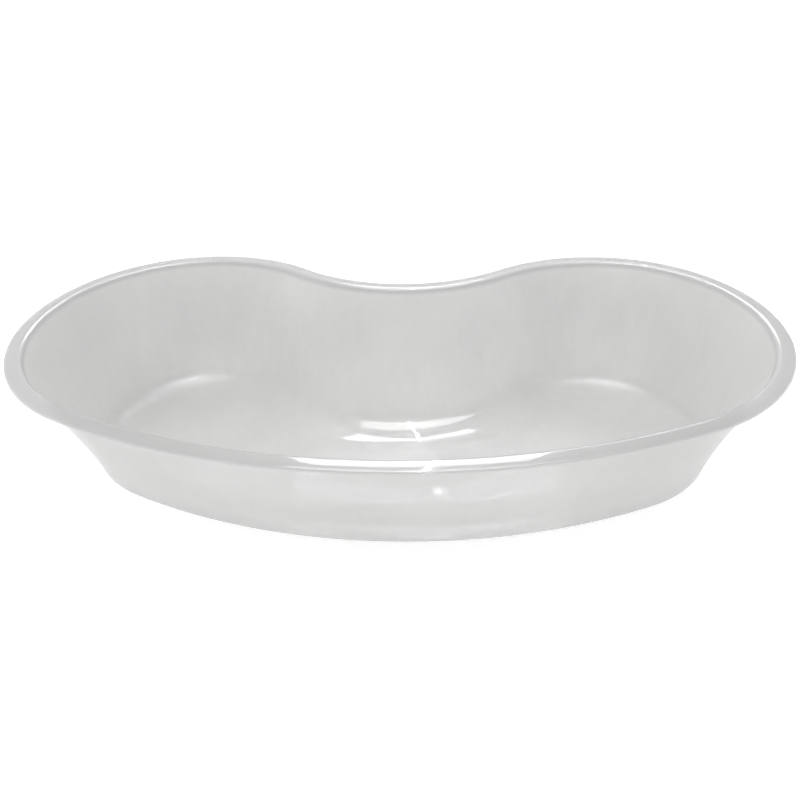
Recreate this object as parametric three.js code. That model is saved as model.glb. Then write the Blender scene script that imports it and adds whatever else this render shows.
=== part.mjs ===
// A kidney dish: one moulding with a bean-shaped outline, a flat floor, a flared wall and a lip
// rolled outwards. Millimetres, +Z up. The origin is on the table, under the middle of the
// dish's length and width. The hollow side of the bean faces +Y.

import * as THREE from "three";

// The lip's outer edge, seen from above
const LENGTH = 250; // end to end
const WIDTH = 130; // front of the belly to the back of the two lobes
const WAIST_DIP = 22; // how far the middle of the back lies in front of the lobes' back
const END_RADIUS = 57;

// The wall's foot at table level: how far it lies inside the lip's outer edge
const FOOT_END_INSET = 21;
const FOOT_FRONT_INSET = 23;
const FOOT_LOBE_INSET = 17;
const FOOT_WAIST_INSET = 25;
const FOOT_END_RADIUS = 37;

// The section through the wall
const HEIGHT = 46; // table to the lip's crest
const WALL_THICKNESS = 1.8;
const FLOOR_THICKNESS = 2.0;
const WALL_LEAN_AT_LIP = THREE.MathUtils.degToRad(28); // from the vertical
const FOOT_EDGE_RADIUS = 3.0;
const FLOOR_FILLET_RADIUS = 9.0;
const LIP_WIDTH = 4.2; // outer edge to crest
const LIP_THICKNESS = 1.3;
const LIP_ROLL_RADIUS = 16.0; // the lip's top, crest to outer edge
const CREST_RADIUS = 1.6; // from the crest into the inner wall
const NECK_RADIUS = 1.0; // under the lip, where it joins the wall

// How finely each round stretch is divided
const FRONT_STEPS = 28;
const END_STEPS = 25;
const BACK_STEPS = 20;
const WALL_STEPS = 4;
const FILLET_STEPS = 5;
const ROUND_STEPS = 3;

const FULL_TURN = 2 * Math.PI;

// ---------------------------------------------------------------------------------------------
// Plan: a front arc, two end arcs and a hollow back arc, each tangent to the next
// ---------------------------------------------------------------------------------------------

// The direction from one centre to another, as an angle from +X.
function bearing(from, to) {
  return Math.atan2(to.y - from.y, to.x - from.x);
}

// The stations along one arc. A station is a place on an outline, given as the arc it belongs to
// and its angle there. bulge is +1 where the outline bends round its centre, -1 where it is hollow.
function arcStations(centre, radius, startAngle, endAngle, steps, bulge) {
  const stations = [];
  for (let i = 0; i < steps; i++) {
    const angle = startAngle + ((endAngle - startAngle) * i) / steps;
    stations.push({ centre, radius, angle, bulge });
  }
  return stations;
}

// The point that lies inset millimetres inside the outline at a station.
function planPoint(station, inset) {
  const reach = station.radius - station.bulge * inset;
  return new THREE.Vector2(Math.cos(station.angle), Math.sin(station.angle))
    .multiplyScalar(reach)
    .add(station.centre);
}

// Every station of a bean-shaped outline in turn, anticlockwise from above, starting where the
// left end meets the front. The front touches frontY, the lobes lobeY and the waist waistY.
function beanStations({ halfLength, frontY, lobeY, waistY, endRadius }) {
  const rightCentre = new THREE.Vector2(halfLength - endRadius, lobeY - endRadius);
  const leftCentre = new THREE.Vector2(-rightCentre.x, rightCentre.y);
  const reachSq = rightCentre.x ** 2 - endRadius ** 2;

  const frontDrop = rightCentre.y - frontY;
  const frontRadius = (reachSq + frontDrop ** 2) / (2 * (frontDrop - endRadius));
  const frontCentre = new THREE.Vector2(0, frontY + frontRadius);

  const waistRise = waistY - rightCentre.y;
  const backRadius = (reachSq + waistRise ** 2) / (2 * (endRadius - waistRise));
  const backCentre = new THREE.Vector2(0, waistY + backRadius);

  const frontRight = bearing(frontCentre, rightCentre);
  const frontLeft = -Math.PI - frontRight;
  const backRight = bearing(backCentre, rightCentre);
  const backLeft = -Math.PI - backRight;
  const endFinish = bearing(rightCentre, backCentre);
  return [
    ...arcStations(frontCentre, frontRadius, frontLeft, frontRight, FRONT_STEPS, 1),
    ...arcStations(rightCentre, endRadius, frontRight, endFinish, END_STEPS, 1),
    ...arcStations(backCentre, backRadius, backRight, backLeft, BACK_STEPS, -1),
    ...arcStations(leftCentre, endRadius, Math.PI - endFinish, FULL_TURN + frontLeft, END_STEPS, 1),
  ];
}

const rimStations = beanStations({
  halfLength: LENGTH / 2,
  frontY: -WIDTH / 2,
  lobeY: WIDTH / 2,
  waistY: WIDTH / 2 - WAIST_DIP,
  endRadius: END_RADIUS,
});

const footStations = beanStations({
  halfLength: LENGTH / 2 - FOOT_END_INSET,
  frontY: -WIDTH / 2 + FOOT_FRONT_INSET,
  lobeY: WIDTH / 2 - FOOT_LOBE_INSET,
  waistY: WIDTH / 2 - WAIST_DIP - FOOT_WAIST_INSET,
  endRadius: FOOT_END_RADIUS,
});

// The lip follows the rim's outline and the foot its own; between them the wall passes smoothly
// from one to the other. inset is measured from the lip's outer edge, as at the dish's ends.
function dishPoint(index, inset, height) {
  const byRim = planPoint(rimStations[index], inset);
  const byFoot = planPoint(footStations[index], inset - FOOT_END_INSET);
  const share = THREE.MathUtils.smoothstep(height, 0, HEIGHT - LIP_WIDTH);
  const place = byFoot.lerp(byRim, share);
  return new THREE.Vector3(place.x, place.y, height);
}

// ---------------------------------------------------------------------------------------------
// Section: x is the inset from the lip's outer edge, y is the height above the table
// ---------------------------------------------------------------------------------------------

// Points along an arc, the first one left out, so that arcs chain without doubled points.
function arcPoints(centre, radius, startAngle, endAngle, steps) {
  const points = [];
  for (let i = 1; i <= steps; i++) {
    const angle = startAngle + ((endAngle - startAngle) * i) / steps;
    points.push(new THREE.Vector2(radius, 0).rotateAround(new THREE.Vector2(), angle).add(centre));
  }
  return points;
}

// The centre of a fillet: a given height, and a given distance inwards from a circle's centre.
function filletCentre(circleCentre, distance, height) {
  const across = Math.sqrt(distance ** 2 - (height - circleCentre.y) ** 2);
  return new THREE.Vector2(circleCentre.x + across, height);
}

// Where two circles cross, on the side with the greater height.
function upperCrossing(centreA, radiusA, centreB, radiusB) {
  const between = new THREE.Vector2().subVectors(centreB, centreA);
  const gap = between.length();
  const along = (gap ** 2 + radiusA ** 2 - radiusB ** 2) / (2 * gap);
  const off = Math.sqrt(radiusA ** 2 - along ** 2);
  const unit = between.divideScalar(gap);
  const side = new THREE.Vector2(-unit.y, unit.x);
  if (side.y < 0) side.negate();
  return centreA.clone().addScaledVector(unit, along).addScaledVector(side, off);
}

// The whole section, from the edge of the underside, up the outer face, over the lip and down
// the inner face to the edge of the floor.
function sectionPoints() {
  const crestCentre = new THREE.Vector2(LIP_WIDTH, HEIGHT - CREST_RADIUS);
  const rollCentre = new THREE.Vector2(LIP_WIDTH, HEIGHT - LIP_ROLL_RADIUS);

  // The wall is an arc about a point outside the dish: tangent to the crest on its inner face,
  // and passing FOOT_END_INSET at table level on its outer face.
  const intoDish = new THREE.Vector2(Math.cos(WALL_LEAN_AT_LIP), Math.sin(WALL_LEAN_AT_LIP));
  const wallTop = crestCentre.clone().addScaledVector(intoDish, CREST_RADIUS);
  const foot = new THREE.Vector2(FOOT_END_INSET, 0).sub(wallTop);
  const innerRadius =
    (foot.lengthSq() - WALL_THICKNESS ** 2) / (2 * (-foot.dot(intoDish) - WALL_THICKNESS));
  const outerRadius = innerRadius - WALL_THICKNESS;
  const wallCentre = wallTop.clone().addScaledVector(intoDish, -innerRadius);

  const footCentre = filletCentre(wallCentre, outerRadius + FOOT_EDGE_RADIUS, FOOT_EDGE_RADIUS);
  const floorCentre = filletCentre(
    wallCentre,
    innerRadius + FLOOR_FILLET_RADIUS,
    FLOOR_THICKNESS + FLOOR_FILLET_RADIUS,
  );
  const underRollRadius = LIP_ROLL_RADIUS - LIP_THICKNESS;
  const neckCentre = upperCrossing(
    wallCentre,
    outerRadius - NECK_RADIUS,
    rollCentre,
    underRollRadius - NECK_RADIUS,
  );

  // The lip ends in a round bead whose outermost point is the outline itself.
  const beadRadius = LIP_THICKNESS / 2;
  const beadReach = LIP_ROLL_RADIUS - beadRadius;
  const beadAngle = Math.PI / 2 + Math.asin((LIP_WIDTH - beadRadius) / beadReach);
  const beadCentre = new THREE.Vector2(Math.cos(beadAngle), Math.sin(beadAngle))
    .multiplyScalar(beadReach)
    .add(rollCentre);

  const down = -Math.PI / 2;
  const footAngle = bearing(wallCentre, footCentre);
  const neckWallAngle = bearing(wallCentre, neckCentre);
  const neckLipAngle = bearing(rollCentre, neckCentre);
  const floorAngle = bearing(wallCentre, floorCentre);

  return [
    new THREE.Vector2(footCentre.x, 0),
    ...arcPoints(footCentre, FOOT_EDGE_RADIUS, down, footAngle - Math.PI, ROUND_STEPS),
    ...arcPoints(wallCentre, outerRadius, footAngle, neckWallAngle, WALL_STEPS),
    ...arcPoints(neckCentre, NECK_RADIUS, neckWallAngle, neckLipAngle, ROUND_STEPS),
    ...arcPoints(rollCentre, underRollRadius, neckLipAngle, beadAngle, 1),
    ...arcPoints(beadCentre, beadRadius, beadAngle + Math.PI, beadAngle, ROUND_STEPS + 1),
    ...arcPoints(rollCentre, LIP_ROLL_RADIUS, beadAngle, Math.PI / 2, ROUND_STEPS),
    ...arcPoints(crestCentre, CREST_RADIUS, Math.PI / 2, WALL_LEAN_AT_LIP, ROUND_STEPS),
    ...arcPoints(wallCentre, innerRadius, WALL_LEAN_AT_LIP, floorAngle, WALL_STEPS),
    ...arcPoints(floorCentre, FLOOR_FILLET_RADIUS, floorAngle - Math.PI, down, FILLET_STEPS),
  ];
}

// ---------------------------------------------------------------------------------------------
// The closed body: the section carried round the outline, with a flat floor and underside
// ---------------------------------------------------------------------------------------------

function dishGeometry() {
  const section = sectionPoints();
  const rows = section.length;
  const last = rows - 1;
  const positions = [];
  const faces = [];
  rimStations.forEach((_, i) => {
    const here = i * rows;
    const next = ((i + 1) % rimStations.length) * rows;
    for (const { x: inset, y: height } of section) {
      positions.push(...dishPoint(i, inset, height).toArray());
    }
    for (let j = 0; j < last; j++) {
      faces.push(here + j, next + j, next + j + 1);
      faces.push(here + j, next + j + 1, here + j + 1);
    }
  });
  const loop = (row) => rimStations.map((_, i) => dishPoint(i, section[row].x, section[row].y));
  for (const [a, b, c] of THREE.ShapeUtils.triangulateShape(loop(0), [])) {
    faces.push(c * rows, b * rows, a * rows);
  }
  for (const [a, b, c] of THREE.ShapeUtils.triangulateShape(loop(last), [])) {
    faces.push(a * rows + last, b * rows + last, c * rows + last);
  }
  const geometry = new THREE.BufferGeometry();
  geometry.setAttribute("position", new THREE.Float32BufferAttribute(positions, 3));
  geometry.setIndex(faces);
  geometry.computeVertexNormals();
  return geometry;
}

const milkyPolypropylene = new THREE.MeshStandardMaterial({
  color: 0xd6d6d4,
  roughness: 0.28,
  metalness: 0,
});

const kidneyDish = new THREE.Mesh(dishGeometry(), milkyPolypropylene);
kidneyDish.name = "kidney_dish";

const dish = new THREE.Group();
dish.add(kidneyDish);

export default dish;
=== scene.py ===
# %% [markdown]
# # A kidney dish in milky polypropylene
# A kidney dish is one injection moulding: a flat floor, a round turn, a flared wall and a lip
# rolled outwards. The engineering model is the fixed frame here. It says how big the dish is and
# where it stands, and this lesson makes the fine surface, the plastic and the light around it.

# %% Load the frame and measure it
import math

import bpy
import numpy as np
from mathutils import Matrix, Vector


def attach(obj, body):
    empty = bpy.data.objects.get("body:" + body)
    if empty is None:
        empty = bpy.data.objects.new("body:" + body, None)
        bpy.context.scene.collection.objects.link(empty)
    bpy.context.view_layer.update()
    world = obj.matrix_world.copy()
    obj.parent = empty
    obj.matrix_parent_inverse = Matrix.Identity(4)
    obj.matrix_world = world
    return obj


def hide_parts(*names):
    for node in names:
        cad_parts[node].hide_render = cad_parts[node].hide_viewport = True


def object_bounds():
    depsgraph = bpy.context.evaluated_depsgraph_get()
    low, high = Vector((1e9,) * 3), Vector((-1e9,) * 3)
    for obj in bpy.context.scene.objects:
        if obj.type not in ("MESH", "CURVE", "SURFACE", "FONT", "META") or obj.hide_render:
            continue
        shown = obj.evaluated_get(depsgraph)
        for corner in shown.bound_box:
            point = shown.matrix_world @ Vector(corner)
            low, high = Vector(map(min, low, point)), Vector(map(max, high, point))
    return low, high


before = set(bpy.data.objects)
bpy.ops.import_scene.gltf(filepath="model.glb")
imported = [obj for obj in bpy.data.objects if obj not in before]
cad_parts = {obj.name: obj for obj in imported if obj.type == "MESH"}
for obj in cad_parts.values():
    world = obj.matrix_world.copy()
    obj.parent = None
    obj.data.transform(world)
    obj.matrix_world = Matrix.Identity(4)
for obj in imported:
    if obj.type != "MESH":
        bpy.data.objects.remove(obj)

MM = 0.001
cad_low, cad_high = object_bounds()
half_length = (cad_high.x - cad_low.x) / 2
half_width = (cad_high.y - cad_low.y) / 2
height = cad_high.z - cad_low.z
print("frame, mm:", [round(side / MM, 1) for side in cad_high - cad_low])

# %% [markdown]
# ## The outline
# Seen from above the dish is a bean made of four arcs, each tangent to the next: a long shallow
# front, two round ends, and a hollow back that fits against a chin or a side. It could be drawn
# as a spline, but a spline would ripple in the reflections. Arcs stay true, and a smaller bean
# inside this one is the same arcs with other radii. A station is one place on the outline, kept
# as a row of five numbers: the arc's centre, its radius, the angle, and +1 or -1 for the side
# that it bends towards.


# %% One arc of the outline
def bearing(start, end):
    """The direction from one point to another, as an angle from the first axis."""
    return math.atan2(end[1] - start[1], end[0] - start[0])


def arc_stations(centre, radius, start, end, count, bulge):
    """Evenly spaced stations along one arc, without its last point."""
    angles = start + (end - start) * np.arange(count) / count
    return np.array([(*centre, radius, angle, bulge) for angle in angles])


def offset_points(stations, inset):
    """Plan points that lie inset metres inside the outline, one for each station."""
    reach = stations[:, 2] - stations[:, 4] * inset
    across = stations[:, 0] + np.cos(stations[:, 3]) * reach
    along = stations[:, 1] + np.sin(stations[:, 3]) * reach
    return np.stack([across, along], axis=1)


# %% [markdown]
# Where two arcs touch, both centres and the touching point lie on one line. That settles the
# front and the back without trial: each has to touch both ends, so its radius follows from where
# the ends are and how deep it reaches. The counts are high because the lip is seen edge on,
# where a coarse curve would show its corners.

# %% Four arcs make a bean
FRONT_STATIONS = 140
END_STATIONS = 96
BACK_STATIONS = 84


def bean(half, front, lobe, waist, end_radius):
    """Stations of a whole bean, anticlockwise, from where the left end meets the front."""
    right = (half - end_radius, lobe - end_radius)
    left = (-right[0], right[1])
    spread = right[0] ** 2 - end_radius**2
    drop = right[1] - front
    front_radius = (spread + drop**2) / (2 * (drop - end_radius))
    front_centre = (0, front + front_radius)
    rise = waist - right[1]
    back_radius = (spread + rise**2) / (2 * (end_radius - rise))
    back_centre = (0, waist + back_radius)
    front_right = bearing(front_centre, right)
    front_left = -math.pi - front_right
    back_right = bearing(back_centre, right)
    back_left = -math.pi - back_right
    finish = bearing(right, back_centre)
    return np.concatenate([
        arc_stations(front_centre, front_radius, front_left, front_right, FRONT_STATIONS, 1),
        arc_stations(right, end_radius, front_right, finish, END_STATIONS, 1),
        arc_stations(back_centre, back_radius, back_right, back_left, BACK_STATIONS, -1),
        arc_stations(left, end_radius, math.pi - finish, 2 * math.pi + front_left, END_STATIONS, 1),
    ])


# %% [markdown]
# The lip is one such bean and the foot is another. The foot isn't the lip moved inwards by a
# single amount. It is drawn in most at the waist and least behind the lobes, so the wall leans
# a little differently all round, and a plain offset of the lip would lose that.

# %% The lip's bean and the foot's bean
WAIST_DIP = 22 * MM
END_RADIUS = 57 * MM
FOOT_END_INSET = 21 * MM
FOOT_FRONT_INSET = 23 * MM
FOOT_LOBE_INSET = 17 * MM
FOOT_WAIST_INSET = 25 * MM
FOOT_END_RADIUS = 37 * MM

waist = half_width - WAIST_DIP
rim_stations = bean(half_length, -half_width, half_width, waist, END_RADIUS)
foot_stations = bean(
    half_length - FOOT_END_INSET,
    -half_width + FOOT_FRONT_INSET,
    half_width - FOOT_LOBE_INSET,
    waist - FOOT_WAIST_INSET,
    FOOT_END_RADIUS,
)
print("stations round the dish:", len(rim_stations))

# %% [markdown]
# ## The section
# Cut through the wall and the same profile shows all the way round. It starts under the floor,
# rounds the foot, climbs the hollow outer face, tucks in under the lip, turns the lip's bead,
# rolls over the crest, drops down the inner face and turns slowly into the floor. Every stretch
# is an arc tangent to its neighbours, so light runs over the joins without a kink. The profile
# could be bevelled from a coarse one with a modifier, but then the radii would not be the dish's
# own. A point in the section is its inset from the lip's bean and its height.


# %% Arcs that chain
def arc_points(centre, radius, start, end, steps):
    """Points along an arc in the section, without its first point."""
    angles = start + (end - start) * np.arange(1, steps + 1) / steps
    return centre + radius * np.stack([np.cos(angles), np.sin(angles)], axis=1)


def fillet_centre(wall_centre, distance, level):
    """The point at this level, inwards of the wall's centre and at this distance from it."""
    return np.array([wall_centre[0] + math.sqrt(distance**2 - (level - wall_centre[1]) ** 2), level])


def upper_crossing(centre_a, radius_a, centre_b, radius_b):
    """The higher of the two points where two circles cross."""
    between = centre_b - centre_a
    gap = math.hypot(*between)
    along = (gap**2 + radius_a**2 - radius_b**2) / (2 * gap)
    off = math.sqrt(radius_a**2 - along**2)
    unit = between / gap
    side = np.array([-unit[1], unit[0]]) * math.copysign(1, unit[0])
    return centre_a + along * unit + off * side


# %% [markdown]
# The wall comes first, since the rest leans on it. Its two faces are arcs about one centre, low
# down and out beyond the lip, so the thickness is even. The inner face leaves the lip's crest at
# a set lean, the outer face runs to the foot line, and only one radius does both. It could be
# found by trying, but the two conditions make an equation with a single answer.

# %% The wall's arc
WALL_THICKNESS = 1.8 * MM
WALL_LEAN = math.radians(28)
LIP_WIDTH = 4.2 * MM
CREST_RADIUS = 1.6 * MM

crest = np.array([LIP_WIDTH, height - CREST_RADIUS])
inwards = np.array([math.cos(WALL_LEAN), math.sin(WALL_LEAN)])
wall_top = crest + CREST_RADIUS * inwards
foot = np.array([FOOT_END_INSET, 0]) - wall_top
inner = (foot @ foot - WALL_THICKNESS**2) / (2 * (-foot @ inwards - WALL_THICKNESS))
outer = inner - WALL_THICKNESS
wall = wall_top - inner * inwards
print("radius of the wall's inner face, mm:", round(inner / MM, 1))

# %% [markdown]
# The lip is a thin flange that rolls outwards and down. It stiffens the wall, and its rounded
# bead leaves no sharp edge to hold. A tube swept round the rim would be quicker, but it would be
# a round bead only, without the thin flange or the hollow under it.

# %% The lip
LIP_THICKNESS = 1.3 * MM
LIP_ROLL_RADIUS = 16.0 * MM
NECK_RADIUS = 1.0 * MM
NECK_STEPS = 5
UNDER_STEPS = 2
BEAD_STEPS = 10
ROLL_STEPS = 6
CREST_STEPS = 8

roll = np.array([LIP_WIDTH, height - LIP_ROLL_RADIUS])
under = LIP_ROLL_RADIUS - LIP_THICKNESS
neck = upper_crossing(wall, outer - NECK_RADIUS, roll, under - NECK_RADIUS)
neck_from_wall = bearing(wall, neck)
neck_from_lip = bearing(roll, neck)
bead_radius = LIP_THICKNESS / 2
bead_reach = LIP_ROLL_RADIUS - bead_radius
bead_angle = math.pi / 2 + math.asin((LIP_WIDTH - bead_radius) / bead_reach)
bead = roll + bead_reach * np.array([math.cos(bead_angle), math.sin(bead_angle)])
lip_arcs = [
    arc_points(neck, NECK_RADIUS, neck_from_wall, neck_from_lip, NECK_STEPS),
    arc_points(roll, under, neck_from_lip, bead_angle, UNDER_STEPS),
    arc_points(bead, bead_radius, bead_angle + math.pi, bead_angle, BEAD_STEPS),
    arc_points(roll, LIP_ROLL_RADIUS, bead_angle, math.pi / 2, ROLL_STEPS),
    arc_points(crest, CREST_RADIUS, math.pi / 2, WALL_LEAN, CREST_STEPS),
]
print("arcs in the lip:", len(lip_arcs))

# %% [markdown]
# The floor turns up slowly at first and then faster, and soft light shows that as a wide bright
# patch with a narrow one above it. A fillet with one small radius would squeeze both into thin
# stripes. So three arcs take turns, wide next to the floor, then middling, then tight against
# the wall. Stepping back from one centre along the line through the touching point gives the
# next.

# %% From the wall to the floor
FLOOR_THICKNESS = 2.0 * MM
TIGHT_RADIUS = 7.0 * MM
MIDDLING_RADIUS = 18.0 * MM
WIDE_RADIUS = 55.0 * MM
WIDE_TURN = math.radians(13)
MIDDLING_TURN = math.radians(27)
TURN_STEPS = 16
DOWN = -math.pi / 2


def leaning(turn):
    """A step of length one, turned inwards from straight up."""
    return np.array([math.sin(turn), math.cos(turn)])


to_wide = (WIDE_RADIUS - MIDDLING_RADIUS) * leaning(WIDE_TURN)
to_middling = (MIDDLING_RADIUS - TIGHT_RADIUS) * leaning(MIDDLING_TURN)
tight_level = FLOOR_THICKNESS + WIDE_RADIUS - to_wide[1] - to_middling[1]
tight_ball = fillet_centre(wall, inner + TIGHT_RADIUS, tight_level)
middling_ball = tight_ball + to_middling
wide_ball = middling_ball + to_wide
floor_angle = bearing(wall, tight_ball)
floor_arcs = [
    arc_points(tight_ball, TIGHT_RADIUS, floor_angle - math.pi, DOWN - MIDDLING_TURN, TURN_STEPS),
    arc_points(middling_ball, MIDDLING_RADIUS, DOWN - MIDDLING_TURN, DOWN - WIDE_TURN, TURN_STEPS),
    arc_points(wide_ball, WIDE_RADIUS, DOWN - WIDE_TURN, DOWN, TURN_STEPS),
]
print("the floor turns up over, mm:", round((wide_ball[0] - floor_arcs[0][0][0]) / MM, 1))

# %% [markdown]
# Now the section is put together in the order that a finger would follow it, from under the
# floor, up the outside and down the inside. The foot's edge is the last arc to find: a small
# ball that touches both the table and the outer face.

# %% The whole section
FOOT_EDGE_RADIUS = 3.0 * MM
FOOT_STEPS = 8
WALL_STEPS = 18

foot_ball = fillet_centre(wall, outer + FOOT_EDGE_RADIUS, FOOT_EDGE_RADIUS)
foot_angle = bearing(wall, foot_ball)
section = np.concatenate([
    [[foot_ball[0], 0]],
    arc_points(foot_ball, FOOT_EDGE_RADIUS, DOWN, foot_angle - math.pi, FOOT_STEPS),
    arc_points(wall, outer, foot_angle, neck_from_wall, WALL_STEPS),
    *lip_arcs,
    arc_points(wall, inner, WALL_LEAN, floor_angle, WALL_STEPS),
    *floor_arcs,
])
print("points in the section:", len(section))

# %% [markdown]
# ## The skin
# The section is now carried round the stations. The lip keeps to its own bean and the foot to
# its own, which is a little more bent, and in between the wall passes smoothly from one to the
# other. The floor and the underside go on inwards as smaller and smaller beans. A single face
# could close each of them, but then the shading would stretch across a polygon with hundreds of
# corners, so only the slim bean left in the middle is closed that way.

# %% Rings
CORE_INSET = 26 * MM
CORE_RINGS = 4


def ring(inset, level):
    """One closed ring of the dish: every station at the same inset and height."""
    by_rim = offset_points(rim_stations, inset)
    by_foot = offset_points(foot_stations, inset - FOOT_END_INSET)
    share = min(max(level / (height - LIP_WIDTH), 0), 1)
    share = share * share * (3 - 2 * share)
    plan = by_foot + (by_rim - by_foot) * share
    return [Vector((x, y, level)) for x, y in plan]


def dish_rings():
    """All rings in order, from the middle of the underside round to the middle of the floor."""
    under_inset, under_level = section[0]
    floor_inset, floor_level = section[-1]
    core = FOOT_END_INSET + CORE_INSET
    underside = np.linspace(core, under_inset, CORE_RINGS + 1)[:-1]
    floor = np.linspace(floor_inset, core, CORE_RINGS + 1)[1:]
    rings = [ring(inset, under_level) for inset in underside]
    rings += [ring(inset, level) for inset, level in section]
    rings += [ring(inset, floor_level) for inset in floor]
    return rings


rings = dish_rings()
print("rings in the dish:", len(rings))

# %% [markdown]
# The rings become one mesh of quads. A lathe or a screw modifier can only turn a section about
# an axis, and a bean has none, so the quads are listed here from ring to ring. The engineering
# model's plain dish steps aside for this one, which rides on the same body.


# %% A skin through the rings
def skin(name, rings):
    """A closed mesh through the rings, its two ends filled."""
    count = len(rings[0])
    faces = [tuple(reversed(range(count)))]
    for row in range(len(rings) - 1):
        for column in range(count):
            here = row * count + column
            beside = row * count + (column + 1) % count
            faces.append((here, beside, beside + count, here + count))
    last = (len(rings) - 1) * count
    faces.append(tuple(range(last, last + count)))
    mesh = bpy.data.meshes.new(name)
    mesh.from_pydata([corner for loop in rings for corner in loop], [], faces)
    mesh.validate()
    mesh.shade_smooth()
    piece = bpy.data.objects.new(name, mesh)
    bpy.context.scene.collection.objects.link(piece)
    return piece


dish = skin("kidney_dish_moulding", rings)
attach(dish, "root")
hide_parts("kidney_dish")
print("faces in the skin:", len(dish.data.polygons))

# %% [markdown]
# ## Shader sums
# A finish is mostly arithmetic on patterns. Placing Math nodes by hand hides the arithmetic, so
# one small class wraps a node's output and lets Python's own signs add the nodes.


# %% A pattern that can be summed
class Pattern:
    """A number that changes over the surface. Sums on it become Math nodes."""

    def __init__(self, recipe, output):
        self.recipe = recipe
        self.output = output

    def combine(self, operation, first, second):
        node = self.recipe.add("ShaderNodeMath", {"operation": operation}, {0: first, 1: second})
        return Pattern(self.recipe, node.outputs[0])

    def __add__(self, other):
        return self.combine("ADD", self, other)

    def __radd__(self, other):
        return self.combine("ADD", other, self)

    def __sub__(self, other):
        return self.combine("SUBTRACT", self, other)

    def __rsub__(self, other):
        return self.combine("SUBTRACT", other, self)

    def __mul__(self, other):
        return self.combine("MULTIPLY", self, other)

    def __rmul__(self, other):
        return self.combine("MULTIPLY", other, self)


# %% [markdown]
# Any other node comes from a single method that takes its type, its settings and what goes into
# its sockets. A finish then reads from top to bottom like a recipe, and the nodes could be laid
# out by hand afterwards without changing it.


# %% A recipe that holds the nodes
class Recipe:
    """The nodes of a material, or of the sky."""

    def __init__(self, owner):
        owner.use_nodes = True
        self.owner = owner
        self.tree = owner.node_tree
        self.tree.nodes.clear()

    def add(self, kind, settings=None, sockets=None):
        """A node of this kind, with its settings, and values or links in its sockets."""
        node = self.tree.nodes.new(kind)
        for name, value in (settings or {}).items():
            setattr(node, name, value)
        for name, value in (sockets or {}).items():
            if isinstance(value, Pattern):
                value = value.output
            if isinstance(value, bpy.types.NodeSocket):
                self.tree.links.new(value, node.inputs[name])
            else:
                node.inputs[name].default_value = value
        return node

    def noise(self, place, scale, detail=2.0, roughness=0.5):
        """Soft blotches. The scale is roughly how many fit in a metre."""
        sockets = {"Vector": place, "Scale": scale, "Detail": detail, "Roughness": roughness}
        node = self.add("ShaderNodeTexNoise", sockets=sockets)
        return Pattern(self, node.outputs["Fac"])

    def between(self, value, low, high):
        """0 below low, 1 above high, and a smooth step from one to the other."""
        sockets = {"Value": value, "From Min": low, "From Max": high}
        node = self.add("ShaderNodeMapRange", {"interpolation_type": "SMOOTHSTEP"}, sockets)
        return Pattern(self, node.outputs["Result"])

    def finish(self, shader, output="ShaderNodeOutputMaterial"):
        """Send the shader to the output, and give back what the recipe belongs to."""
        self.add(output, sockets={"Surface": shader.outputs[0]})
        return self.owner


# %% [markdown]
# ## Where on the dish
# The plastic isn't quite the same all over, so a few masks say where a point lies. They read the
# object's own coordinates and stay put when the dish is moved. Painting the masks by hand
# would work too, but they would be lost with every change of shape. The wall flares, so its
# outside faces down and its inside faces up, and that alone tells the two apart.

# %% Masks
FLOOR_BAND = (FLOOR_THICKNESS + 0.2 * MM, FLOOR_THICKNESS + 2.0 * MM)
LIP_BAND = (height - 2.5 * MM, height - 0.5 * MM)
UPPER_BAND = (8 * MM, 38 * MM)
LOBE_BAND = (45 * MM, 62 * MM)
END_BAND = (70 * MM, 118 * MM)
FACING_BAND = (-0.15, 0.10)


def facing_down(recipe, facing):
    """1 on the outside of the wall and under the dish, 0 on everything inside it."""
    split = recipe.add("ShaderNodeSeparateXYZ", sockets={"Vector": facing})
    return 1 - recipe.between(Pattern(recipe, split.outputs["Z"]), *FACING_BAND)


def dish_masks(recipe, place):
    """Patterns that are 1 on the floor, on the lip, up the wall, in the lobes and at the ends."""
    split = recipe.add("ShaderNodeSeparateXYZ", sockets={"Vector": place})
    across = Pattern(recipe, split.outputs["X"])
    level = Pattern(recipe, split.outputs["Z"])
    far = across * across
    floor = 1 - recipe.between(level, *FLOOR_BAND)
    lip = recipe.between(level, *LIP_BAND)
    upper = recipe.between(level, *UPPER_BAND)
    lobes = recipe.between(far, LOBE_BAND[0] ** 2, LOBE_BAND[1] ** 2)
    ends = recipe.between(far, END_BAND[0] ** 2, END_BAND[1] ** 2)
    return floor, lip, upper, lobes, ends


# %% [markdown]
# ## Marks in the surface
# Moulded dishes carry a few kinds of faint mark. Polishing a mould by hand leaves slow swirls.
# Pushing the warm dish off the core draws upright lines down the walls, so that noise is
# squeezed in height. The floor has a fine satin grain. Use adds scuffs, most of them on the
# lip, where dishes are stacked and slid. All are shallow enough for a bump, which costs no
# geometry.

# %% Swirls, grain, draw lines and scuffs
CLOUD_SCALE = 28.0
SWIRL_SCALE = 90.0
SWIRL_DEPTH = 0.10 * MM
GRAIN_SCALE = 2600.0
GRAIN_DEPTH = 0.008 * MM
DRAW_SCALE = 320.0
DRAW_SQUEEZE = 0.04
DRAW_DEPTH = 0.012 * MM
SCUFF_SCALE = 420.0
SCUFF_BAND = (0.58, 0.75)
WALL_SCUFFING = 0.35


def draw_lines(recipe, place):
    """Noise stretched into upright lines."""
    squeeze = {0: place, 1: (1.0, 1.0, DRAW_SQUEEZE)}
    upright = recipe.add("ShaderNodeVectorMath", {"operation": "MULTIPLY"}, squeeze)
    return recipe.noise(upright.outputs["Vector"], DRAW_SCALE, detail=3.0, roughness=0.6)


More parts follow.
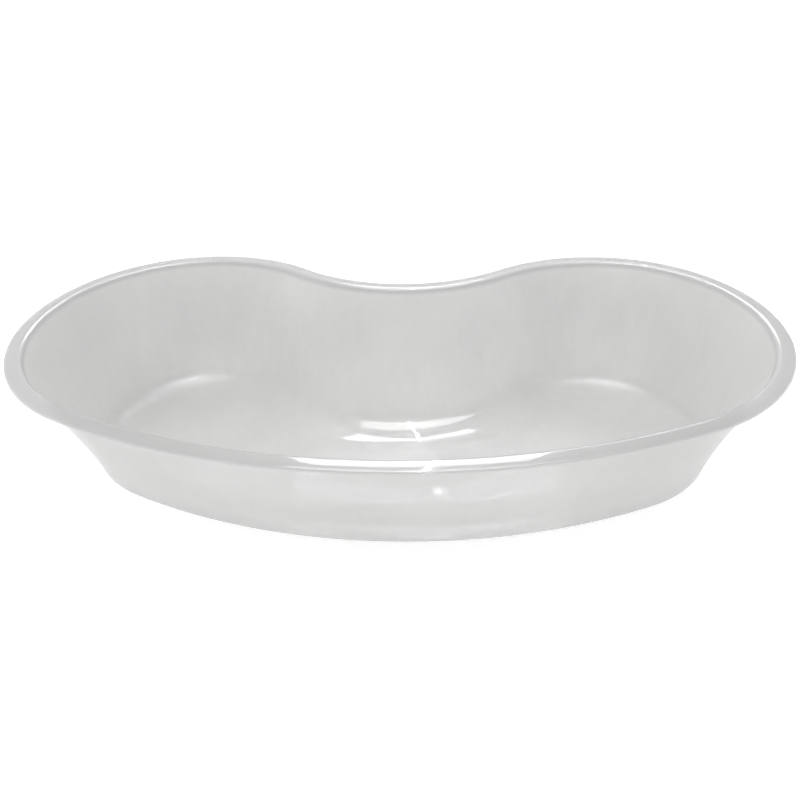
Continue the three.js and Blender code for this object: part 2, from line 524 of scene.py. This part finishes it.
def scuffs(recipe, place, lip):
    """Small worn spots, full on the lip and fainter elsewhere."""
    spots = recipe.noise(place, SCUFF_SCALE, detail=4.0, roughness=0.7)
    return recipe.between(spots, *SCUFF_BAND) * (WALL_SCUFFING + (1 - WALL_SCUFFING) * lip)


# %% [markdown]
# ## How milky, and where shade is painted
# Natural polypropylene has no pigment, and its milk is a little uneven, like thin cloud. The
# lip is toned greyer, partly because it is thinner than the wall and partly as painted shade.
# The upper wall and the ends get a little painted shade too, which keeps them from glaring in
# the white room. The outside faces the bright table and the inside faces itself, so painted
# shade darkens the outside to bring the two level.

# %% Tone, with painted shade
GREY_TONE = (0.48, 0.48, 0.477, 1)
WHITE_TONE = (0.78, 0.78, 0.775, 1)
MILK = 0.8
CLOUD_SHARE = 0.5
DRAW_SHARE = 0.25
# Painted shade: how far the lip (also thinner), the upper wall and the ends are darkened.
LIP_THINNESS_AND_PAINTED_SHADE = 0.9
UPPER_PAINTED_SHADE = 0.17
END_PAINTED_SHADE = 0.2
# Painted shade on the outside, which faces the bright table and would otherwise look lighter.
OUTSIDE_PAINTED_SHADE = 0.36


def tone_with_painted_shade(recipe, cloud, draw, lip, upper, ends, outside):
    """The plastic's colour, between the grey tone and the white one, with painted shade in it."""
    milk = MILK + CLOUD_SHARE * (cloud - 0.5) + DRAW_SHARE * (draw - 0.5)
    # Painted shade: the lip, the upper wall, the ends and the outside are darkened here.
    milk = milk * (1 - LIP_THINNESS_AND_PAINTED_SHADE * lip) * (1 - UPPER_PAINTED_SHADE * upper)
    milk = milk * (1 - END_PAINTED_SHADE * ends) * (1 - OUTSIDE_PAINTED_SHADE * outside)
    tones = {"Factor": milk, "A": GREY_TONE, "B": WHITE_TONE}
    return recipe.add("ShaderNodeMix", {"data_type": "RGBA"}, tones).outputs["Result"]


# %% [markdown]
# ## Milky polypropylene
# Light goes into the plastic, scatters and comes out a few millimetres away, and some of it goes
# straight through a wall under two millimetres thick. Glass with rough refraction is one way to
# get there, but it bends what is behind it and needs many samples. Here subsurface scattering
# gives the milk, and an alpha below one lets a little of the white table show through each skin.
# The gloss has two layers. The base has a broad sheen, because scattering plastic is never quite
# sharp. A coat over it carries the sharp reflections. Its weight falls off in the two lobes, so
# that the softbox is a faint line there and a bright patch at the waist.

# %% Put the plastic together
PLASTIC_IOR = 1.49
SPECULAR_LEVEL = 0.3
SCATTER_DISTANCE = 4 * MM
BODY = 0.66
WALL_ROUGHNESS = 0.36
FLOOR_ROUGHNESS = 0.42
SWIRL_ROUGHENING = 0.06
SCUFF_ROUGHENING = 0.10
POLISH_ROUGHNESS = 0.02
LOBE_DULLING = 0.78
RELIEF_STRENGTH = 0.5


def milky_plastic():
    recipe = Recipe(bpy.data.materials.new("milky_polypropylene"))
    whereabouts = recipe.add("ShaderNodeTexCoord")
    place = whereabouts.outputs["Object"]
    outside = facing_down(recipe, whereabouts.outputs["Normal"])
    floor, lip, upper, lobes, ends = dish_masks(recipe, place)
    cloud = recipe.noise(place, CLOUD_SCALE, detail=3.0)
    swirl = recipe.noise(place, SWIRL_SCALE)
    grain = recipe.noise(place, GRAIN_SCALE, detail=1.0)
    draw = draw_lines(recipe, place)
    sheen = WALL_ROUGHNESS + (FLOOR_ROUGHNESS - WALL_ROUGHNESS) * floor
    sheen = sheen + SWIRL_ROUGHENING * (swirl - 0.5) + SCUFF_ROUGHENING * scuffs(recipe, place, lip)
    polish = 1 - LOBE_DULLING * lobes * (1 - lip)
    relief = SWIRL_DEPTH * swirl + GRAIN_DEPTH * grain * floor + DRAW_DEPTH * draw
    depths = {"Strength": RELIEF_STRENGTH, "Distance": 1.0, "Height": relief}
    bump = recipe.add("ShaderNodeBump", sockets=depths)
    shader = recipe.add("ShaderNodeBsdfPrincipled", sockets={
        "Base Color": tone_with_painted_shade(recipe, cloud, draw, lip, upper, ends, outside),
        "Alpha": BODY,
        "Roughness": sheen,
        "Normal": bump.outputs["Normal"],
        "IOR": PLASTIC_IOR,
        "Specular IOR Level": SPECULAR_LEVEL,
        "Coat Weight": polish,
        "Coat Roughness": POLISH_ROUGHNESS,
        "Subsurface Weight": 1.0,
        "Subsurface Radius": (1.0, 1.0, 1.0),
        "Subsurface Scale": SCATTER_DISTANCE,
    })
    return recipe.finish(shader)


dish.data.materials.clear()
dish.data.materials.append(milky_plastic())
print("nodes in the plastic:", len(dish.data.materials[0].node_tree.nodes))

# %% [markdown]
# ## The table
# Milky plastic looks cleanest on a white acrylic sheet with a lamp under it. The glow fills the
# shadow round the foot and comes through the walls. A lamp below the sheet would do the same at
# the price of noise, so the sheet itself gives off a little light.

# %% A glowing white sheet
TABLE_HALF = 6.0
TABLE_GAP = 0.2 * MM
TABLE_WHITE = (0.95, 0.95, 0.95, 1)
TABLE_ROUGHNESS = 0.9
TABLE_SPECULAR_LEVEL = 0.1
TABLE_GLOW = 0.4
WHITE = (1, 1, 1, 1)


def table_top():
    signs = ((-1, -1), (1, -1), (1, 1), (-1, 1))
    corners = [(TABLE_HALF * x, TABLE_HALF * y, -TABLE_GAP) for x, y in signs]
    mesh = bpy.data.meshes.new("table_top")
    mesh.from_pydata(corners, [], [(0, 1, 2, 3)])
    piece = bpy.data.objects.new("table_top", mesh)
    bpy.context.scene.collection.objects.link(piece)
    recipe = Recipe(bpy.data.materials.new("pale_table"))
    shader = recipe.add("ShaderNodeBsdfPrincipled", sockets={
        "Base Color": TABLE_WHITE,
        "Roughness": TABLE_ROUGHNESS,
        "Specular IOR Level": TABLE_SPECULAR_LEVEL,
        "Emission Color": WHITE,
        "Emission Strength": TABLE_GLOW,
    })
    mesh.materials.append(recipe.finish(shader))
    return piece


table_top()
print("table, metres across:", 2 * TABLE_HALF)

# %% [markdown]
# ## The room
# Gloss shows the room more than it shows the lamps. This one is white all round. A strip low in
# front is dimmer, where a person would stand, and it draws the soft dark band that follows the
# top of the floor's turn. The right-hand side is a shade dimmer than the left. Walls could be
# modelled for this, but the sky's own direction says all that is needed. Each band below is a
# share of that direction, from 0 for level to 1 for straight up, or straight to the front or
# right.

# %% White room, dim strip in front
SKY_BRIGHTNESS = 1.05
ROOM_SHADE = 0.75
SIDE_SHADE = 0.3
RIGHT_BAND = (-0.2, 0.9)
FRONT_BAND = (0.25, 0.6)
STRIP_STARTS = (0.16, 0.24)
STRIP_ENDS = (0.30, 0.52)


def room():
    recipe = Recipe(bpy.data.worlds.new("soft_room"))
    direction = recipe.add("ShaderNodeTexCoord").outputs["Generated"]
    split = recipe.add("ShaderNodeSeparateXYZ", sockets={"Vector": direction})
    right = recipe.between(Pattern(recipe, split.outputs["X"]), *RIGHT_BAND)
    front = recipe.between(-1 * Pattern(recipe, split.outputs["Y"]), *FRONT_BAND)
    up = Pattern(recipe, split.outputs["Z"])
    strip = recipe.between(up, *STRIP_STARTS) * (1 - recipe.between(up, *STRIP_ENDS))
    light = SKY_BRIGHTNESS * (1 - ROOM_SHADE * front * strip) * (1 - SIDE_SHADE * right)
    shader = recipe.add("ShaderNodeBackground", sockets={"Color": WHITE, "Strength": light})
    return recipe.finish(shader, "ShaderNodeOutputWorld")


bpy.context.scene.world = room()
print("nodes in the room:", len(bpy.context.scene.world.node_tree.nodes))

# %% [markdown]
# ## The lamps
# The room does the lighting, and the lamps are only there to be mirrored, so they are hidden
# from matt surfaces. The softbox and the window make the two bright patches where the floor
# turns up at the waist. The low window draws the thin line along the crest of the lip, and the
# tube and the bulb make the small sharp glints. Bright shapes in the sky would be mirrored just
# as well, but they would light the matt surfaces too.


# %% Lamps that only shine
def lamp(name, place, width, depth, brightness):
    """A rectangular lamp facing the dish. Brightness is the radiance of its face."""
    data = bpy.data.lights.new(name, "AREA")
    data.shape = "RECTANGLE"
    data.size = width
    data.size_y = depth
    data.energy = brightness * width * depth * math.pi
    piece = bpy.data.objects.new(name, data)
    piece.location = place
    piece.rotation_euler = (-Vector(place)).to_track_quat("-Z", "Y").to_euler()
    piece.visible_diffuse = False
    bpy.context.scene.collection.objects.link(piece)


lamp("overhead_softbox", (0.03, 0.13, 1.0), width=0.66, depth=0.36, brightness=8.0)
lamp("ceiling_tube", (-0.012, 0.35, 0.93), width=0.010, depth=1.2, brightness=45.0)
lamp("ceiling_bulb", (-0.012, 0.0, 0.97), width=0.03, depth=0.03, brightness=1800.0)
lamp("window_behind", (-0.04, 0.68, 0.73), width=0.34, depth=0.36, brightness=11.0)
lamp("low_window_behind", (0.06, 0.80, 0.58), width=0.50, depth=0.09, brightness=8.0)
print("lamps:", len(bpy.data.lights))

# %% [markdown]
# ## The camera
# The camera is held close, a third of a metre from the dish, a little to the right of its middle
# and looking down over the front. From so near, the front looks deeper and the lobes behind it
# smaller. A longer lens from further off would fill the frame too, but it would flatten that.

# %% Camera
CAMERA_PLACE = Vector((0.0278, -0.2687, 0.2046))
CAMERA_HEADING = math.radians(5.39)
CAMERA_TILT = math.radians(33.64)
CAMERA_ROLL = math.radians(-2.23)
CAMERA_LENS_MM = 44.7
CAMERA_SENSOR_MM = 36


def camera():
    data = bpy.data.cameras.new("camera")
    data.lens = CAMERA_LENS_MM
    data.sensor_width = CAMERA_SENSOR_MM
    piece = bpy.data.objects.new("camera", data)
    heading = Matrix.Rotation(CAMERA_HEADING, 4, "Z")
    tilt = Matrix.Rotation(math.pi / 2 - CAMERA_TILT, 4, "X")
    roll = Matrix.Rotation(CAMERA_ROLL, 4, "Z")
    piece.matrix_world = Matrix.Translation(CAMERA_PLACE) @ heading @ tilt @ roll
    bpy.context.scene.collection.objects.link(piece)
    return piece


scene = bpy.context.scene
scene.camera = camera()
scene.view_settings.view_transform = "Standard"
print("camera to the dish's middle, mm:", round(CAMERA_PLACE.length / MM))
